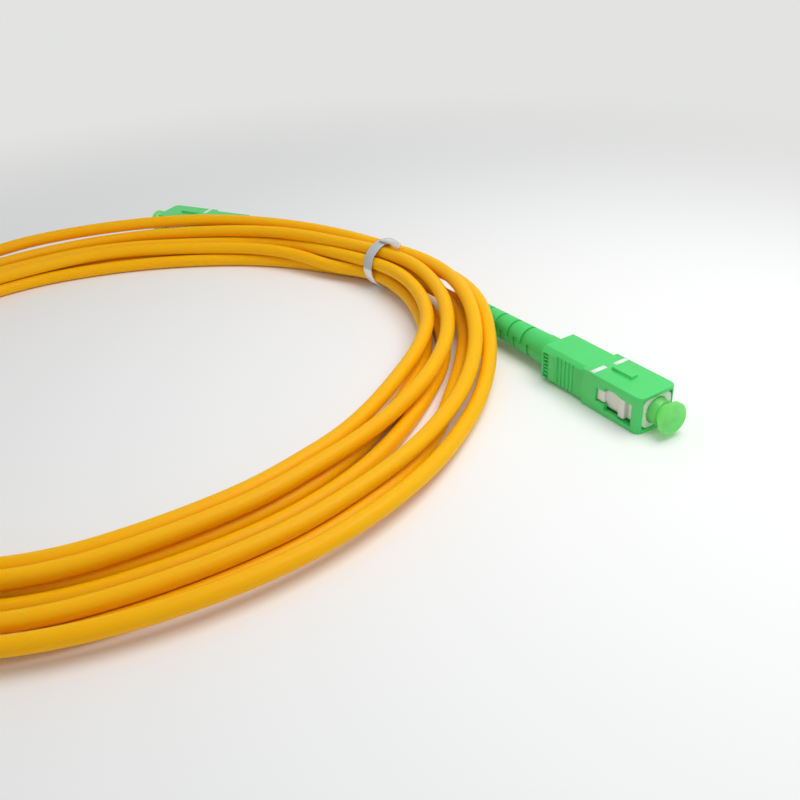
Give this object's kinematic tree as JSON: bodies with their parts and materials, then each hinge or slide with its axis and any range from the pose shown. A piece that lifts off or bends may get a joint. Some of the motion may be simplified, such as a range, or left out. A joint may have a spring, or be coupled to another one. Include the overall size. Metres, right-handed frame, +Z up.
{
  "type": "fibre optic patch cable",
  "caption": "Simplex fibre optic patch cable, coiled and tied, with a square push-pull plug, slotted boot and dust cap on each end.",
  "frame": {"origin": "on the table, under the middle of plug A's grip housing", "axes": "+X along plug A's axis, out of its ferrule; +Z up from the table"},
  "size_m": [0.1622, 0.1539, 0.0114],
  "materials": {
    "green_plastic": "moulded, satin gloss",
    "white_plastic": "moulded, matte",
    "zirconia": "polished ceramic",
    "nickel_brass": "turned, nickel plated",
    "spring_steel": "drawn wire",
    "crimp_metal": "crimped, plain",
    "fibre_buffer": "extruded, matte",
    "green_rubber": "moulded, matte",
    "cap_plastic": "translucent soft moulding",
    "yellow_jacket": "extruded, satin",
    "tie_plastic": "clear ribbon"
  },
  "bodies": {
    "cable": {"cable_coil": "yellow_jacket", "cable_tail_a": "yellow_jacket", "cable_tail_b": "yellow_jacket", "twist_tie": "tie_plastic", "plug_a_frame": "white_plastic", "plug_a_stop_ring": "nickel_brass", "plug_a_crimp_sleeve": "crimp_metal", "plug_a_boot": "green_rubber", "plug_a_ferrule_spring": "spring_steel", "plug_b_frame": "white_plastic", "plug_b_stop_ring": "nickel_brass", "plug_b_crimp_sleeve": "crimp_metal", "plug_b_boot": "green_rubber", "plug_b_ferrule_spring": "spring_steel"},
    "grip_a": {"plug_a_grip_housing": "green_plastic"},
    "grip_b": {"plug_b_grip_housing": "green_plastic"},
    "ferrule_a": {"plug_a_ferrule": "zirconia", "plug_a_ferrule_flange": "nickel_brass", "plug_a_buffered_fibre": "fibre_buffer"},
    "ferrule_b": {"plug_b_ferrule": "zirconia", "plug_b_ferrule_flange": "nickel_brass", "plug_b_buffered_fibre": "fibre_buffer"},
    "cap_a": {"plug_a_dust_cap": "cap_plastic"},
    "cap_b": {"plug_b_dust_cap": "cap_plastic"}
  },
  "joints": [
    {"name": "grip_a_slide", "type": "slide", "parent": "cable", "child": "grip_a", "axis": [1, 0, 0], "range_m": [-0.002, 0]},
    {"name": "grip_b_slide", "type": "slide", "parent": "cable", "child": "grip_b", "axis": [-0.8572, -0.515, 0], "range_m": [-0.002, 0]},
    {"name": "ferrule_a_spring", "type": "slide", "parent": "cable", "child": "ferrule_a", "axis": [1, 0, 0], "range_m": [-0.0012, 0], "stiffness_N_per_m": 1500, "springref_m": 0.005, "deforming": ["plug_a_ferrule_spring"]},
    {"name": "ferrule_b_spring", "type": "slide", "parent": "cable", "child": "ferrule_b", "axis": [-0.8572, -0.515, 0], "range_m": [-0.0012, 0], "stiffness_N_per_m": 1500, "springref_m": 0.005, "deforming": ["plug_b_ferrule_spring"]},
    {"name": "cap_a_pull", "type": "slide", "parent": "cable", "child": "cap_a", "axis": [1, 0, 0], "range_m": [0, 0.015]},
    {"name": "cap_b_pull", "type": "slide", "parent": "cable", "child": "cap_b", "axis": [-0.8572, -0.515, 0], "range_m": [0, 0.015]}
  ]
}
